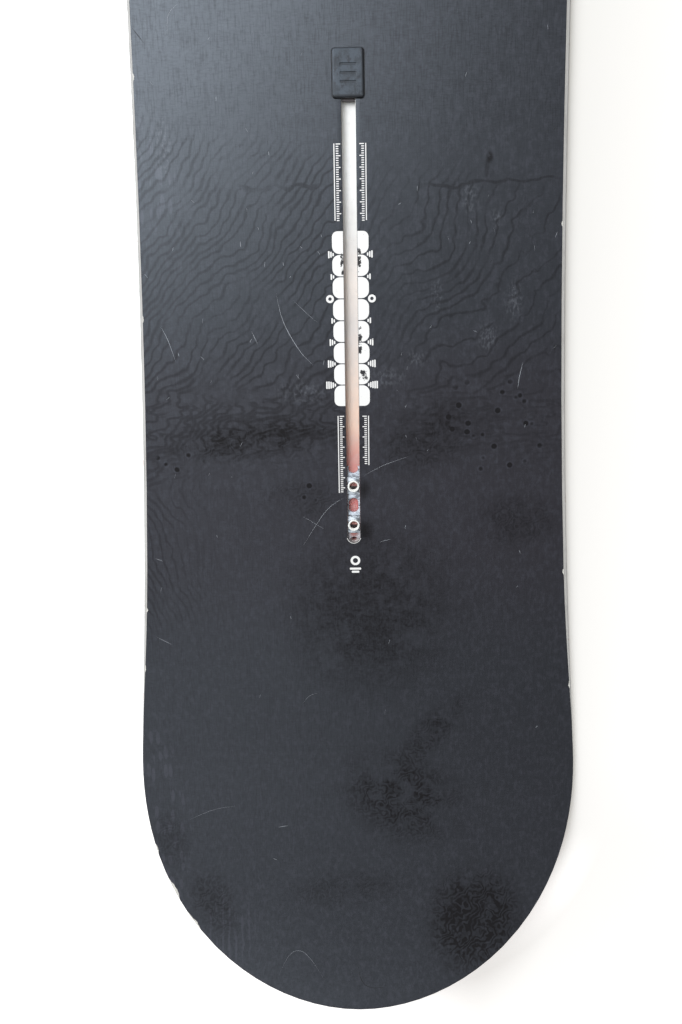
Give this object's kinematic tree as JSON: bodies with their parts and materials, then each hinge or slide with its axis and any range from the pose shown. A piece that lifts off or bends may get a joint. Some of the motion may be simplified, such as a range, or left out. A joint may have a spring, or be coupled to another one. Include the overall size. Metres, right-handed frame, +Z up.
{
  "type": "snowboard",
  "caption": "Directional snowboard with upturned ends, wrap-around steel edge, laminated core, and a slotted channel under each foot with sliding threaded inserts and a rubber plug.",
  "frame": {"origin": "on the running base, at the middle of the board's length and width", "axes": "+Y towards the nose, +Z up out of the topsheet, +X to the right of a viewer who looks towards the nose from above"},
  "size_m": [0.2842, 1.494, 0.06],
  "materials": {
    "base": "sintered polyethylene, stone ground",
    "steel": "ground edge steel",
    "foil": "thin damping rubber",
    "laminate": "glass fibre in resin",
    "core": "glued lengthwise strips, planed",
    "sidewall": "milled, bevelled",
    "spacer": "milled",
    "topsheet": "matt, faint wood grain print, scuffed",
    "rail": "moulded, satin",
    "plug": "moulded, matt",
    "nut": "zinc plated",
    "carrier": "natural nylon"
  },
  "bodies": {
    "board": {"base_sheet": "base", "steel_edge_left": "steel", "steel_edge_right": "steel", "damping_foil": "foil", "lower_laminate": "laminate", "wood_core": "core", "sidewall_left": "sidewall", "sidewall_right": "sidewall", "nose_spacer": "spacer", "tail_spacer": "spacer", "upper_laminate": "laminate", "topsheet": "topsheet", "channel_rail_front": "rail", "channel_rail_rear": "rail"},
    "plug_front": {"channel_plug_front": "plug"},
    "plug_rear": {"channel_plug_rear": "plug"},
    "insert_front_outer": {"insert_nut_front_outer": "nut", "insert_carrier_front_outer": "carrier"},
    "insert_front_inner": {"insert_nut_front_inner": "nut", "insert_carrier_front_inner": "carrier"},
    "insert_rear_outer": {"insert_nut_rear_outer": "nut", "insert_carrier_rear_outer": "carrier"},
    "insert_rear_inner": {"insert_nut_rear_inner": "nut", "insert_carrier_rear_inner": "carrier"}
  },
  "joints": [
    {"name": "plug_front_lift", "type": "slide", "parent": "board", "child": "plug_front", "axis": [0, 0, 1], "range_m": [0, 0.012]},
    {"name": "plug_rear_lift", "type": "slide", "parent": "board", "child": "plug_rear", "axis": [0, 0, 1], "range_m": [0, 0.012]},
    {"name": "insert_front_outer_slide", "type": "slide", "parent": "board", "child": "insert_front_outer", "axis": [0, -1, 0], "range_m": [-0.0022, 0.1029]},
    {"name": "insert_front_inner_slide", "type": "slide", "parent": "insert_front_outer", "child": "insert_front_inner", "axis": [0, -1, 0], "range_m": [0, 0.1029]},
    {"name": "insert_rear_outer_slide", "type": "slide", "parent": "board", "child": "insert_rear_outer", "axis": [0, 1, 0], "range_m": [-0.0022, 0.1029]},
    {"name": "insert_rear_inner_slide", "type": "slide", "parent": "insert_rear_outer", "child": "insert_rear_inner", "axis": [0, 1, 0], "range_m": [0, 0.1029]}
  ]
}
